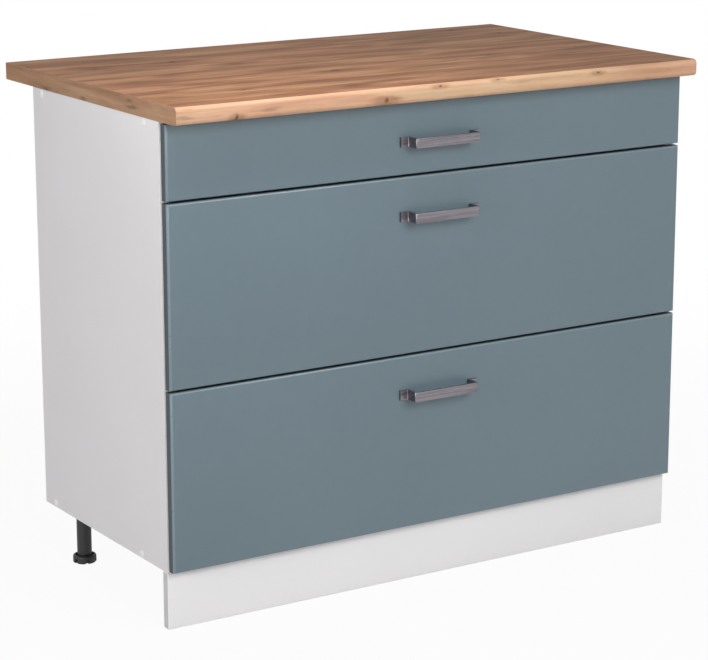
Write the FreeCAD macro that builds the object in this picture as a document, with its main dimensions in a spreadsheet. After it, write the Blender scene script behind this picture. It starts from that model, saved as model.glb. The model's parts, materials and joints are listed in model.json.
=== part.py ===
import FreeCAD, Part
import os
import Sketcher
from math import cos, pi, sin
from types import SimpleNamespace

# A kitchen base cabinet with three drawers under a laminate worktop. Lengths are in millimetres.
# X points right, Y to the back, Z up. The origin is on the floor, under the middle of the worktop.
# Each drawer is a chipboard bottom and back between two folded steel sides. A track flange on each
# side runs on a nylon roller at the front of the cabinet's channel, and a second roller at the
# side's rear end runs inside that channel.

SIZES = {
    # carcass of melamine-faced chipboard
    "body_width": 1000,
    "body_depth": 440,
    "board": 16,
    "front_rail": 96,
    "rear_rail": 70,
    "back_thick": 3,
    "back_inset": 16,
    "groove_depth": 6,
    "groove_play": 0.2,
    # worktop
    "worktop_depth": 600,
    "worktop_thick": 28,
    "worktop_overhang": 56,
    "worktop_nose": 8,
    "end_band": 0.8,
    # plinth and its clips
    "plinth_height": 95,
    "plinth_thick": 16,
    "plinth_gap": 1,
    "clip_wall": 3,
    "clip_height": 16,
    "clip_level": 42,
    "clip_plate": 46,
    "clip_arm": 10,
    "clip_play": 0.05,
    # legs with screw-in feet
    "front_leg_inset": 58,
    "rear_leg_inset": 37,
    "leg_setback": 68,
    "leg_diameter": 25,
    "leg_bore": 21,
    "leg_plate": 58,
    "leg_plate_thick": 4,
    "leg_plate_offset": 12,
    "leg_plate_chamfer": 6,
    "leg_plug": 18,
    "leg_plug_web": 4,
    "plug_play": 0.3,
    "foot_diameter": 40,
    "foot_disc": 13,
    "foot_bevel": 3,
    "foot_gap": 0.3,
    "foot_notch": 3,
    "foot_notch_depth": 4,
    "foot_notch_height": 6.5,
    "foot_stem": 55,
    "stem_play": 0.08,
    # drawer fronts
    "shallow_front": 118,
    "deep_front": 293,
    "front_thick": 16,
    "front_gap": 3.5,
    "front_end_gap": 3,
    "front_side_gap": 2,
    "front_standoff": 2.5,
    "front_edge": 1.5,
    # strap handle
    "handle_spacing": 128,
    "handle_bar": 125,
    "handle_pad": 14,
    "handle_height": 16,
    "handle_thick": 4,
    "handle_projection": 28,
    "handle_drop": 64,
    "handle_corner": 3,
    # cabinet runners: C-shaped channels
    "runner_rear_gap": 23.5,
    "runner_setback": 2,
    "runner_rise": 18,
    "runner_sheet": 1.2,
    "runner_flange": 10.5,
    # nylon rollers and the studs they turn on
    "roller_diameter": 21,
    "roller_width": 6,
    "rear_roller_depth": 4.2,
    "roller_play": 0.3,
    "roller_lift": 1,
    "roller_side_play": 0.1,
    "roller_clearance": 2,
    "bore_play": 0.05,
    "axle_diameter": 5,
    "axle_collar": 9,
    "axle_head": 0.9,
    "front_axle_inset": 16,
    "rear_axle_inset": 12,
    # folded steel drawer sides
    "side_space": 12.5,
    "side_sheet": 1,
    "shallow_side": 70,
    "deep_side": 150,
    "track_width": 9.5,
    "track_play": 0.6,
    "rim_width": 7,
    "rim_lip": 5,
    "shelf_width": 14,
    "tab_width": 18,
    # drawer bottom, back and front brackets
    "drawer_board": 16,
    "back_drop": 4,
    "bracket_sheet": 1.5,
    "bracket_width": 20,
    "bracket_length": 45,
    "bracket_height": 44,
    "bracket_lift": 2,
    # fasteners: the confirmat screws that hold the carcass, and the handle screws
    "hole_play": 0.05,
    "confirmat_shank": 7,
    "confirmat_length": 50,
    "front_rail_screw": 48,
    "rear_rail_screw": 33,
    "bottom_front_screw": 86,
    "bottom_rear_screw": 40,
    "handle_screw": 4,
    "handle_screw_bite": 3,
    "handle_screw_head": 8,
    "handle_screw_head_height": 2.4,
    "handle_hole_play": 0.25,
}
FOOT_FACETS = 24
FOOT_NOTCHES = 6
FOOT_TURN = 16
SCREW_FACETS = 8
LEVELS = ("bottom", "middle", "top")

Vector = FreeCAD.Vector
os.makedirs("parts", exist_ok=True)
doc = FreeCAD.newDocument("drawer_base_cabinet")
sheet = doc.addObject("Spreadsheet::Sheet", "Sizes")


class Length:
    """A length that carries its number and the sheet formula that it comes from."""

    def __init__(self, number, formula):
        self.number = number
        self.formula = formula

    def joined(self, sign, other, number):
        return Length(number, "(%s %s %s)" % (self.formula, sign, other.formula))

    def __add__(self, other):
        other = as_length(other)
        return self.joined("+", other, self.number + other.number)

    def __sub__(self, other):
        other = as_length(other)
        return self.joined("-", other, self.number - other.number)

    def __mul__(self, other):
        other = as_length(other)
        return self.joined("*", other, self.number * other.number)

    def __truediv__(self, other):
        other = as_length(other)
        return self.joined("/", other, self.number / other.number)

    def __radd__(self, other):
        return as_length(other) + self

    def __rsub__(self, other):
        return as_length(other) - self

    def __rmul__(self, other):
        return as_length(other) * self

    def __neg__(self):
        return Length(-self.number, "(-%s)" % self.formula)


def as_length(value):
    if isinstance(value, Length):
        return value
    return Length(float(value), repr(float(value)))


def read_sizes():
    """Fills the sheet, and gives each size as a length by its name."""
    lengths = {}
    for row, (alias, value) in enumerate(SIZES.items(), 1):
        sheet.set("A%d" % row, alias)
        sheet.set("B%d" % row, str(value))
        sheet.setAlias("B%d" % row, alias)
        lengths[alias] = Length(float(value), "Sizes." + alias)
    doc.recompute()
    return SimpleNamespace(**lengths)


size = read_sizes()

# ---- helpers: binding, placing, primitives and booleans

TOWARDS = {
    "+X": FreeCAD.Rotation(Vector(0, 0, 1), Vector(1, 0, 0)),
    "-Y": FreeCAD.Rotation(Vector(0, 0, 1), Vector(0, -1, 0)),
    "-X": FreeCAD.Rotation(Vector(0, 0, 1), Vector(-1, 0, 0)),
    "+Z": FreeCAD.Rotation(),
}
nodes = []


def bind(thing, **lengths):
    for name, length in lengths.items():
        thing.setExpression(name, as_length(length).formula)


def place(thing, spot, towards="+Z"):
    """Puts an object's own origin at a spot, with its own Z turned towards a main direction."""
    thing.Placement = FreeCAD.Placement(Vector(), TOWARDS[towards])
    for letter, length in zip("xyz", spot):
        thing.setExpression("Placement.Base." + letter, as_length(length).formula)
    return thing


def keep(thing, label):
    """Names a finished sub-part, which is then written to its own file."""
    thing.Label = label
    nodes.append(thing)
    return thing


def box(name, corner, extent):
    block = doc.addObject("Part::Box", name)
    bind(block, Length=extent[0], Width=extent[1], Height=extent[2])
    return place(block, corner)


def rod(name, start, towards, diameter, length):
    bar = doc.addObject("Part::Cylinder", name)
    bind(bar, Radius=diameter / 2, Height=length)
    return place(bar, start, towards)


def shank(name, start, towards, diameter, length):
    """A screw's shank or head, or the hole for it, with a few flat sides instead of a round one."""
    bar = doc.addObject("Part::Prism", name)
    bar.Polygon = SCREW_FACETS
    bind(bar, Circumradius=diameter / 2, Height=length)
    return place(bar, start, towards)


def group(name, things):
    bundle = doc.addObject("Part::Compound", name)
    bundle.Links = things
    return bundle


def mirrored(name, thing):
    """The right-hand twin of a left-hand piece, across the plane through the cabinet's middle."""
    twin = doc.addObject("Part::Mirroring", name)
    twin.Source = thing
    twin.Normal = Vector(1, 0, 0)
    return twin


def both_sides(name, things):
    left = group(name + "_left_side", things)
    return group(name, [left, mirrored(name + "_right_side", left)])


def cut(name, base, tools):
    result = doc.addObject("Part::Cut", name)
    result.Base = base
    result.Tool = group(name + "_tools", tools)
    return result


def fuse(name, things):
    result = doc.addObject("Part::MultiFuse", name)
    result.Shapes = things
    result.Refine = True
    return result


def copy(name, master, spot, towards="+Z"):
    twin = doc.addObject("App::Link", name)
    twin.LinkedObject = master
    return place(twin, spot, towards)


# ---- helpers: bodies made from a closed outline


def outline(body, name, role, corners):
    """A closed sketch on one of the body's origin planes, through corners given from its origin."""
    sketch = body.newObject("Sketcher::SketchObject", name)
    plane = next(item for item in body.Origin.OriginFeatures if item.Role == role)
    sketch.AttachmentSupport = [(plane, "")]
    sketch.MapMode = "FlatFace"
    corners = [(as_length(across), as_length(up)) for across, up in corners]
    points = [Vector(across.number, up.number, 0) for across, up in corners]
    following = points[1:] + points[:1]
    sketch.addGeometry([Part.LineSegment(*ends) for ends in zip(points, following)], False)
    for index in range(len(points)):
        sketch.addConstraint(Sketcher.Constraint("Coincident", index, 2, (index + 1) % len(points), 1))
    for index, corner in enumerate(corners):
        for kind, length in zip(("DistanceX", "DistanceY"), corner):
            number = sketch.addConstraint(Sketcher.Constraint(kind, -1, 1, index, 1, length.number))
            sketch.setExpression("Constraints[%d]" % number, length.formula)
    return sketch


def prism(name, role, corners, depth):
    """A body padded from an outline: along +Z from XY_Plane, +X from YZ_Plane, +Y from XZ_Plane."""
    body = doc.addObject("PartDesign::Body", name)
    pad = body.newObject("PartDesign::Pad", name + "_pad")
    pad.Profile = outline(body, name + "_outline", role, corners)
    pad.Reversed = role == "XZ_Plane"
    bind(pad, Length=depth)
    doc.recompute()
    return body


def turned(name, corners):
    """A body turned about its own Z axis from an outline of radius and height."""
    body = doc.addObject("PartDesign::Body", name)
    sketch = outline(body, name + "_outline", "XZ_Plane", corners)
    turn = body.newObject("PartDesign::Revolution", name + "_turn")
    turn.Profile = sketch
    turn.ReferenceAxis = (sketch, ["V_Axis"])
    turn.Angle = 360
    doc.recompute()
    return body


def edge_names(body, chosen):
    """The straight edges of the body's last feature that are chosen by their middle and direction."""
    names = []
    for number, edge in enumerate(body.Tip.Shape.Edges, 1):
        if len(edge.Vertexes) == 2 and chosen(edge.CenterOfMass, edge.tangentAt(edge.FirstParameter)):
            names.append("Edge%d" % number)
    return names


def dress_edges(body, kind, chosen, **lengths):
    base = body.Tip
    names = edge_names(body, chosen)
    dressing = body.newObject("PartDesign::" + kind, "%s_%s" % (body.Name, kind.lower()))
    dressing.Base = (base, names)
    bind(dressing, **lengths)
    doc.recompute()


def round_edges(body, radius, direction, chosen):
    """Rounds the edges that run along a direction and whose middle is chosen."""
    dress_edges(body, "Fillet", lambda middle, tangent: (
        abs(tangent.dot(direction)) > 0.999 and chosen(middle)), Radius=radius)


def bevel_edges(body, width, chosen):
    dress_edges(body, "Chamfer", lambda middle, tangent: chosen(middle), Size=width)


def is_at(number, length):
    return abs(number - as_length(length).number) < 0.001


# ---- main lines of the cabinet

half = size.body_width / 2
inner_half = half - size.board
inner_width = 2 * inner_half
body_height = (2 * size.front_end_gap + 2 * size.deep_front + size.shallow_front + 2 * size.front_gap)
body_front = size.worktop_overhang - size.worktop_depth / 2
body_back = body_front + size.body_depth
underside = size.plinth_height
floor_top = underside + size.board
body_top = underside + body_height
rail_under = body_top - size.board
back_face = body_back - size.back_inset - size.back_thick
front_back = body_front - size.front_standoff
front_face = front_back - size.front_thick
runner_length = back_face - size.runner_rear_gap - front_back

front_heights = {"bottom": size.deep_front, "middle": size.deep_front, "top": size.shallow_front}
side_heights = {"bottom": size.deep_side, "middle": size.deep_side, "top": size.shallow_side}
front_foot = {"bottom": underside + size.front_end_gap}
front_foot["middle"] = front_foot["bottom"] + size.deep_front + size.front_gap
front_foot["top"] = front_foot["middle"] + size.deep_front + size.front_gap
runner_foot = {level: front_foot[level] + size.runner_rise for level in LEVELS}

X = Vector(1, 0, 0)
Y = Vector(0, 1, 0)
Z = Vector(0, 0, 1)


# ---- carcass

# Each pair of confirmat screws enters a board's end through the side panel, at the board's middle.
confirmat_spots = [
    (body_front + size.front_rail_screw, body_top - size.board / 2),
    (body_back - size.rear_rail_screw, body_top - size.board / 2),
    (body_front + size.bottom_front_screw, underside + size.board / 2),
    (body_back - size.bottom_rear_screw, underside + size.board / 2),
]
thread_length = size.confirmat_length - size.board


def build_confirmats():
    left = [shank("confirmat_%d" % number, (-half, y, z), "+X", size.confirmat_shank, size.confirmat_length)
            for number, (y, z) in enumerate(confirmat_spots)]
    keep(both_sides("carcass_screw_set", left), "carcass_screws")


def confirmat_pilots(name, spots):
    """Holes in the ends of a lying board, for the thread of its confirmats."""
    diameter = size.confirmat_shank + 2 * size.hole_play
    depth = thread_length + size.hole_play
    left = [shank("%s_pilot_%d" % (name, number), (-inner_half, y, z), "+X", diameter, depth)
            for number, (y, z) in enumerate(spots)]
    return both_sides(name + "_pilots", left)


def build_side_panels():
    panel = box("side_board", (-half, body_front, underside), (size.board, size.body_depth, body_height))
    groove = box("side_groove", (-inner_half - size.groove_depth, back_face, underside),
                 (size.groove_depth, size.back_thick + size.groove_play, body_height))
    holes = [shank("side_hole_%d" % number, (-half, y, z), "+X",
                   size.confirmat_shank + 2 * size.hole_play, size.board)
             for number, (y, z) in enumerate(confirmat_spots)]
    left = keep(cut("side_panel", panel, [groove] + holes), "side_panel_left")
    keep(mirrored("side_panel_twin", left), "side_panel_right")


def build_bottom_panel():
    board = box("bottom_board", (-inner_half, body_front, underside),
                (inner_width, size.body_depth, size.board))
    groove = box("bottom_groove", (-inner_half, back_face, floor_top - size.groove_depth),
                 (inner_width, size.back_thick + size.groove_play, size.groove_depth))
    pilots = confirmat_pilots("bottom", confirmat_spots[2:])
    keep(cut("bottom_cut", board, [groove, pilots]), "bottom_panel")


def build_top_rails():
    """Two lying rails carry the worktop. The rear one is grooved for the back panel."""
    widths = (size.front_rail, size.rear_rail)
    starts = (body_front, body_back - size.rear_rail)
    for name, start, width, spot in zip(("front", "rear"), starts, widths, confirmat_spots):
        rail = box(name + "_rail_board", (-inner_half, start, rail_under), (inner_width, width, size.board))
        tools = [confirmat_pilots(name + "_rail", [spot])]
        if name == "rear":
            tools.append(box("rail_groove", (-inner_half, back_face, rail_under),
                             (inner_width, size.back_thick + size.groove_play, size.groove_depth)))
        keep(cut(name + "_rail_cut", rail, tools), "top_rail_" + name)


def build_back_panel():
    """The hardboard back stands in grooves all round, a little short of their bottoms."""
    reach = size.groove_depth - size.groove_play
    corner = (-inner_half - reach, back_face + size.groove_play / 2, floor_top - reach)
    extent = (inner_width + 2 * reach, size.back_thick, rail_under - floor_top + 2 * reach)
    keep(box("back_board", corner, extent), "back_panel")


# ---- worktop


def worktop_slab(name, length):
    """A length of worktop: square at the back, with a rounded nose above and below at the front."""
    front = -size.worktop_depth / 2
    back = size.worktop_depth / 2
    slab = prism(name, "YZ_Plane", [(front, 0), (back, 0), (back, size.worktop_thick),
                                    (front, size.worktop_thick)], length)
    round_edges(slab, size.worktop_nose, X, lambda middle: is_at(middle.y, front))
    return slab


def build_worktop():
    core_half = half - size.end_band
    keep(place(worktop_slab("worktop_slab", 2 * core_half), (-core_half, 0, body_top)), "worktop")
    band = place(worktop_slab("end_band_slab", size.end_band), (-half, 0, body_top))
    keep(both_sides("end_band_pair", [band]), "worktop_end_bands")


# ---- plinth, legs and feet

leg_spots = {
    "front": (-half + size.front_leg_inset, body_front + size.leg_setback),
    "rear": (-half + size.rear_leg_inset, body_back - size.leg_setback),
}
plate_under = underside - size.leg_plate_thick
plug_reach = size.leg_bore - 2 * size.plug_play


def build_plinth():
    board = box("plinth_board_solid", (-half, body_front, 0),
                (size.body_width, size.plinth_thick, size.plinth_height - size.plinth_gap))
    keep(board, "plinth_board")

    # A clip is a ring open at the back, which snaps onto the leg, on an arm from a plate.
    plinth_back = body_front + size.plinth_thick
    ring_bore = size.leg_diameter + 2 * size.clip_play
    ring_outer = ring_bore + 2 * size.clip_wall
    leg_x, leg_y = leg_spots["front"]
    axis = (leg_x, leg_y, size.clip_level)
    ring = rod("clip_ring", axis, "+Z", ring_outer, size.clip_height)
    arm_end = leg_y - ring_bore / 2 - size.clip_wall / 2
    arm = box("clip_arm_bar", (leg_x - size.clip_arm / 2, plinth_back, size.clip_level),
              (size.clip_arm, arm_end - plinth_back, size.clip_height))
    plate = box("clip_plate_bar", (leg_x - size.clip_plate / 2, plinth_back, size.clip_level),
                (size.clip_plate, size.clip_wall, size.clip_height))
    mouth = box("clip_mouth", (leg_x - ring_outer / 2, leg_y + size.leg_diameter / 4, size.clip_level),
                (ring_outer, ring_outer, size.clip_height))
    bore = rod("clip_bore", axis, "+Z", ring_bore, size.clip_height)
    clip = cut("clip_cut", fuse("clip_solid", [ring, arm, plate]), [bore, mouth])
    keep(both_sides("clip_pair", [clip]), "plinth_clips")


def build_legs():
    # socket: a plate under the bottom panel, with a cross-shaped plug that the tube is pushed onto
    reach = size.leg_plate / 2
    inner = reach - size.leg_plate_chamfer
    plate = prism("leg_plate_body", "XY_Plane", [
        (-reach, -inner), (-inner, -reach), (inner, -reach), (reach, -inner), (reach, inner), (inner, reach),
        (-inner, reach), (-reach, inner)], size.leg_plate_thick)
    place(plate, (size.leg_plate_offset, 0, plate_under))
    plug = []
    web = size.leg_plug_web
    for name, across, deep in (("along", plug_reach, web), ("across", web, plug_reach)):
        plug.append(box("leg_plug_" + name, (-across / 2, -deep / 2, plate_under - size.leg_plug),
                        (across, deep, size.leg_plug)))
    socket = fuse("leg_socket", [plate] + plug)

    # tube: open at its lower end for the foot's stem
    tube_foot = size.foot_disc + size.foot_gap
    tube_height = plate_under - tube_foot
    tube = cut("leg_tube", rod("leg_tube_solid", (0, 0, tube_foot), "+Z", size.leg_diameter, tube_height),
               [rod("leg_tube_bore", (0, 0, tube_foot), "+Z", size.leg_bore, tube_height)])

    for name, master in (("leg_sockets", socket), ("leg_tubes", tube)):
        left = [copy("%s_%s" % (name, end), master, (x, y, 0)) for end, (x, y) in leg_spots.items()]
        keep(both_sides(name + "_set", left), name)


def build_feet():
    """Each foot is a disc with narrow flats and notches, on a stem that screws up into the tube."""
    radius = size.foot_diameter / 2
    turns = [2 * pi * (facet + 0.5) / FOOT_FACETS for facet in range(FOOT_FACETS)]
    corners = [(radius * cos(turn), radius * sin(turn)) for turn in turns]
    stem_diameter = size.leg_bore - 2 * size.stem_play
    for end, (x, y) in leg_spots.items():
        disc = prism("foot_%s_disc" % end, "XY_Plane", corners, size.foot_disc)
        bevel_edges(disc, size.foot_bevel, lambda middle: is_at(middle.z, size.foot_disc))
        notch = disc.newObject("PartDesign::Pocket", "foot_%s_notch" % end)
        inner = radius - size.foot_notch_depth
        outer = radius + size.foot_notch_depth
        notch.Profile = outline(disc, "foot_%s_notch_outline" % end, "XY_Plane", [
            (inner, -size.foot_notch / 2), (outer, -size.foot_notch / 2),
            (outer, size.foot_notch / 2), (inner, size.foot_notch / 2)])
        notch.Reversed = True
        bind(notch, Length=size.foot_notch_height)
        whole = disc.Shape.Volume
        doc.recompute()
        if not disc.Shape.Volume < whole:
            raise RuntimeError("the foot's notch cuts nothing")
        ring = disc.newObject("PartDesign::PolarPattern", "foot_%s_notches" % end)
        ring.Originals = [notch]
        ring.Axis = (next(item for item in disc.Origin.OriginFeatures if item.Role == "Z_Axis"), [""])
        ring.Angle = 360
        ring.Occurrences = FOOT_NOTCHES
        disc.Tip = ring
        doc.recompute()
        place(disc, (x, y, 0))
        disc.Placement = FreeCAD.Placement(disc.Placement.Base, FreeCAD.Rotation(Z, FOOT_TURN))
        stem = shank("foot_%s_stem" % end, (x, y, size.foot_disc), "+Z", stem_diameter, size.foot_stem)
        foot = keep(fuse("foot_%s" % end, [disc, stem]), "foot_%s_left" % end)
        keep(mirrored("foot_%s_twin" % end, foot), "foot_%s_right" % end)


# ---- cabinet runners and rollers

# Heights of the running gear above the channel's underside, and depths from the side panel's face.
channel_height = size.roller_diameter + size.roller_play + size.roller_lift + 2 * size.runner_sheet
track_top = channel_height - size.runner_sheet - size.track_play
track_foot = track_top - 2 * size.side_sheet
front_axle_height = track_foot - size.roller_play - size.roller_diameter / 2
rear_axle_height = size.runner_sheet + size.roller_play + size.roller_diameter / 2
runner_front = body_front + size.runner_setback
front_axle_y = runner_front + size.front_axle_inset
rear_axle_y = front_back + runner_length - size.rear_axle_inset


def stud(name, start, towards, shoulder=0):
    """A roller stud: a shoulder, if any, the round journal that the roller turns on, and a head."""
    journal = size.roller_width + 2 * size.roller_side_play
    x, y, z = start
    step = 1 if towards == "+X" else -1
    pieces = [rod(name + "_journal", start, towards, size.axle_diameter, shoulder + journal),
              shank(name + "_head", (x + step * (shoulder + journal), y, z), towards, size.axle_collar,
                    size.axle_head)]
    if shoulder:
        pieces.append(shank(name + "_shoulder", start, towards, size.axle_collar, shoulder))
    return fuse(name, pieces)


def build_runner(level):
    foot = runner_foot[level]
    thick = size.runner_sheet
    wide = size.runner_flange
    top = channel_height
    channel = prism(level + "_channel", "XZ_Plane", [
        (0, 0), (wide, 0), (wide, thick), (thick, thick), (thick, top - thick), (wide, top - thick),
        (wide, top), (0, top)], runner_length)
    place(channel, (-inner_half, runner_front, foot))
    # the lower flange stops behind the front roller, which hangs a little below it
    gap = size.front_axle_inset + size.roller_diameter / 2 + size.roller_clearance
    slotted = cut(level + "_channel_cut", channel, [
        box(level + "_flange_gap", (-inner_half + thick, runner_front, foot), (wide, gap, thick))])
    axle = stud(level + "_front_stud", (-inner_half + thick, front_axle_y, foot + front_axle_height), "+X")
    left = keep(fuse(level + "_runner", [slotted, axle]), "runner_left_" + level)
    keep(mirrored(level + "_runner_twin", left), "runner_right_" + level)


def build_rollers():
    """Nylon rollers in left and right pairs, each pair on one line."""
    bore = size.axle_diameter / 2 + size.bore_play
    tread = size.roller_diameter / 2
    roller = turned("roller", [
        (bore, 0), (tread, 0), (tread, size.roller_width), (bore, size.roller_width)])
    for level in LEVELS:
        for end, depth, row, height in (
                ("front", size.runner_sheet + size.roller_side_play, front_axle_y, front_axle_height),
                ("rear", size.rear_roller_depth, rear_axle_y, rear_axle_height)):
            spot = (-inner_half + depth, row, runner_foot[level] + height)
            left = copy("%s_%s_roller" % (level, end), roller, spot, "+X")
            keep(both_sides("%s_%s_roller_pair" % (level, end), [left]), "%s_rollers_%s" % (end, level))


# ---- drawers

wall_outer = size.side_space
wall_inner = wall_outer + size.side_sheet
box_half = inner_half - wall_inner
shelf_top = size.side_sheet
board_top = shelf_top + size.drawer_board
tab_front = runner_length - size.side_sheet


def build_drawer_side(level):
    """One folded sheet: rim, wall, doubled track flange and shelf, with a rear tab and roller stud."""
    foot = runner_foot[level]
    sheet_thick = size.side_sheet
    top = side_heights[level]
    rim = wall_inner - size.rim_width
    tip = wall_outer - size.track_width
    shelf_end = wall_outer + size.shelf_width
    profile = prism(level + "_side_profile", "XZ_Plane", [
        (rim, top - size.rim_lip), (rim, top), (wall_inner, top), (wall_inner, shelf_top),
        (shelf_end, shelf_top), (shelf_end, 0), (wall_outer, 0), (wall_outer, track_foot),
        (tip, track_foot), (tip, track_top), (wall_outer, track_top), (wall_outer, top - sheet_thick),
        (rim + sheet_thick, top - sheet_thick), (rim + sheet_thick, top - size.rim_lip)],
        runner_length)
    place(profile, (-inner_half, front_back, foot))

    tab = box(level + "_tab", (-inner_half + wall_outer, front_back + tab_front, foot + shelf_top),
              (sheet_thick + size.tab_width, sheet_thick, top - size.rim_lip - shelf_top))
    shoulder = wall_outer - size.rear_roller_depth - size.roller_width - size.roller_side_play
    axle = stud(level + "_rear_stud", (-inner_half + wall_outer, rear_axle_y, foot + rear_axle_height),
                "-X", shoulder)
    # the track flange ends ahead of the rear roller, so that the roller can touch the channel
    track_end = rear_axle_y - size.roller_diameter / 2 - size.roller_clearance
    slotted = cut(level + "_side_cut", profile, [
        box(level + "_track_gap", (-inner_half + tip, track_end, foot + track_foot),
            (size.track_width, front_back + runner_length - track_end, 2 * sheet_thick))])
    left = keep(fuse(level + "_side", [slotted, tab, axle]), "drawer_side_left_" + level)
    keep(mirrored(level + "_side_twin", left), "drawer_side_right_" + level)


def build_drawer_boards(level):
    """The bottom lies on the sides' shelves, and the back stands on it against the rear tabs."""
    foot = runner_foot[level]
    bottom = box(level + "_drawer_bottom_board", (-box_half, front_back, foot + shelf_top),
                 (2 * box_half, tab_front, size.drawer_board))
    keep(bottom, "drawer_bottom_" + level)
    back = box(level + "_drawer_back_board",
               (-box_half, front_back + tab_front - size.drawer_board, foot + board_top),
               (2 * box_half, size.drawer_board, side_heights[level] - size.back_drop - board_top))
    keep(back, "drawer_back_" + level)


def handle_height(level):
    return front_foot[level] + front_heights[level] - size.handle_drop


def build_front(level):
    """A panel with its visible edges bevelled, bored for the handle's screws."""
    reach = half - size.front_side_gap
    tall = front_heights[level]
    panel = prism(level + "_front_panel", "XZ_Plane",
                  [(-reach, 0), (reach, 0), (reach, tall), (-reach, tall)], size.front_thick)
    bevel_edges(panel, size.front_edge, lambda middle: is_at(middle.y, 0))
    place(panel, (0, front_face, front_foot[level]))
    hole = shank(level + "_handle_hole", (-size.handle_spacing / 2, front_back, handle_height(level)),
                 "-Y", size.handle_screw + 2 * size.handle_hole_play, size.front_thick)
    keep(cut(level + "_front", panel, [both_sides(level + "_front_holes", [hole])]), "front_" + level)


def build_handle(level):
    """A flat strap bent to a bridge, with its feet turned outwards onto the front."""
    bar = size.handle_bar / 2
    leg = bar - size.handle_thick
    tip = bar + size.handle_pad
    thick = size.handle_thick
    reach = size.handle_projection
    right = [(tip, 0), (tip, -thick), (bar, -thick), (bar, -reach)]
    left = [(-across, out) for across, out in reversed(right)]
    inside = [(-leg, 0), (-leg, thick - reach), (leg, thick - reach), (leg, 0)]
    strap = prism(level + "_strap", "XY_Plane", right + left + inside, size.handle_height)
    round_edges(strap, size.handle_corner, Z, lambda middle: is_at(middle.y, -reach))
    place(strap, (0, front_face, handle_height(level) - size.handle_height / 2))
    hole = shank(level + "_strap_hole", (-size.handle_spacing / 2, front_face, handle_height(level)),
                 "-Y", size.handle_screw + 2 * size.hole_play, size.handle_screw_bite + size.hole_play)
    keep(cut(level + "_handle", strap, [both_sides(level + "_strap_holes", [hole])]), "handle_" + level)

    x = -size.handle_spacing / 2
    z = handle_height(level)
    head_back = front_back + size.handle_screw_head_height
    screw = fuse(level + "_handle_screw", [
        shank(level + "_screw_head", (x, head_back, z), "-Y", size.handle_screw_head,
              size.handle_screw_head_height),
        shank(level + "_screw_shank", (x, front_back, z), "-Y", size.handle_screw,
              size.front_thick + size.handle_screw_bite)])
    keep(both_sides(level + "_handle_screw_pair", [screw]), "handle_screws_" + level)


def build_brackets(level):
    """Steel angles that join the front to the drawer's sides."""
    thick = size.bracket_sheet
    foot = runner_foot[level] + board_top + size.bracket_lift
    angle = prism(level + "_angle", "XY_Plane", [
        (0, 0), (size.bracket_width, 0), (size.bracket_width, thick), (thick, thick),
        (thick, size.bracket_length), (0, size.bracket_length)], size.bracket_height)
    place(angle, (-inner_half + wall_inner, front_back, foot))
    keep(both_sides(level + "_bracket_pair", [angle]), "front_brackets_" + level)


# ---- assembly

build_confirmats()
build_side_panels()
build_bottom_panel()
build_top_rails()
build_back_panel()
build_worktop()
build_plinth()
build_legs()
build_feet()
for level in LEVELS:
    build_runner(level)
build_rollers()
for level in LEVELS:
    build_drawer_side(level)
    build_drawer_boards(level)
    build_front(level)
    build_handle(level)
    build_brackets(level)
doc.recompute()

# ---- checks and export

for thing in doc.Objects:
    if "Invalid" in thing.State or "Error" in thing.State:
        raise RuntimeError("%s is not up to date: %s" % (thing.Label, thing.State))
for node in nodes:
    if node.Shape.isNull() or not node.Shape.isValid():
        raise RuntimeError("%s has no valid shape" % node.Label)
for node in nodes:
    node.Shape.exportStep("parts/%s.step" % node.Label)
print("%d sub-parts written" % len(nodes))
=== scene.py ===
# %% [markdown]
# # Dressing a drawer base cabinet
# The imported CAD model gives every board, runner and roller in its place. This lesson gives each of
# them its finish, rounds the edges that catch the light, and adds the small hardware: screws,
# cover caps, threads. Lengths are in metres. X runs along the fronts, Y to the back, Z up.

# %% Load the frame
import json
from math import cos, pi, radians, sin, tau

import bmesh
import bpy
from mathutils import Matrix, Vector


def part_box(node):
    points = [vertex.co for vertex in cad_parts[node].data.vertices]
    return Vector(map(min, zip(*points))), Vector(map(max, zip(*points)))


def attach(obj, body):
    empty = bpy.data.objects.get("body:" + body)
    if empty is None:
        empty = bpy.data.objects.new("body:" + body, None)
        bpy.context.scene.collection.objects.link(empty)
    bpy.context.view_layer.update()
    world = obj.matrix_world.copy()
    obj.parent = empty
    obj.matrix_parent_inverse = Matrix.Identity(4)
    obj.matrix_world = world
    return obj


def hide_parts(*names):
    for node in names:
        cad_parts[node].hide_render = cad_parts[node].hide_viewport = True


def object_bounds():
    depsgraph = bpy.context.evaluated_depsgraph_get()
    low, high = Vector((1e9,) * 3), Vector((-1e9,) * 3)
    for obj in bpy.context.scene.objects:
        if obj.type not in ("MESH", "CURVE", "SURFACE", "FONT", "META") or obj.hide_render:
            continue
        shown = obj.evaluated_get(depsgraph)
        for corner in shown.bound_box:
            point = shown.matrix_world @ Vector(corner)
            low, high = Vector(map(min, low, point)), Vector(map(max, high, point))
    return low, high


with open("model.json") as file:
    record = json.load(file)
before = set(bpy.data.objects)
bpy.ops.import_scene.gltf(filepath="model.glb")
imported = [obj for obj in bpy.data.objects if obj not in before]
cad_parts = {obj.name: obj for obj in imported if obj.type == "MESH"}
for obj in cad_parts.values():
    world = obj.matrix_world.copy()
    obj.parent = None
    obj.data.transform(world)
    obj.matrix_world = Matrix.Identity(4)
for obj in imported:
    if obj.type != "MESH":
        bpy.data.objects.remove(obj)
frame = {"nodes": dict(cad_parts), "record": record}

MM = 0.001
LEVELS = ("bottom", "middle", "top")
cad_low, cad_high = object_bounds()

# %% [markdown]
# ## Camera
# The picture is taken with a long lens, from the left of the fronts and a little above the
# worktop. A long lens keeps the cabinet's edges nearly parallel. The camera's place and angles
# were found by matching the cabinet's corners.

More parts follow.
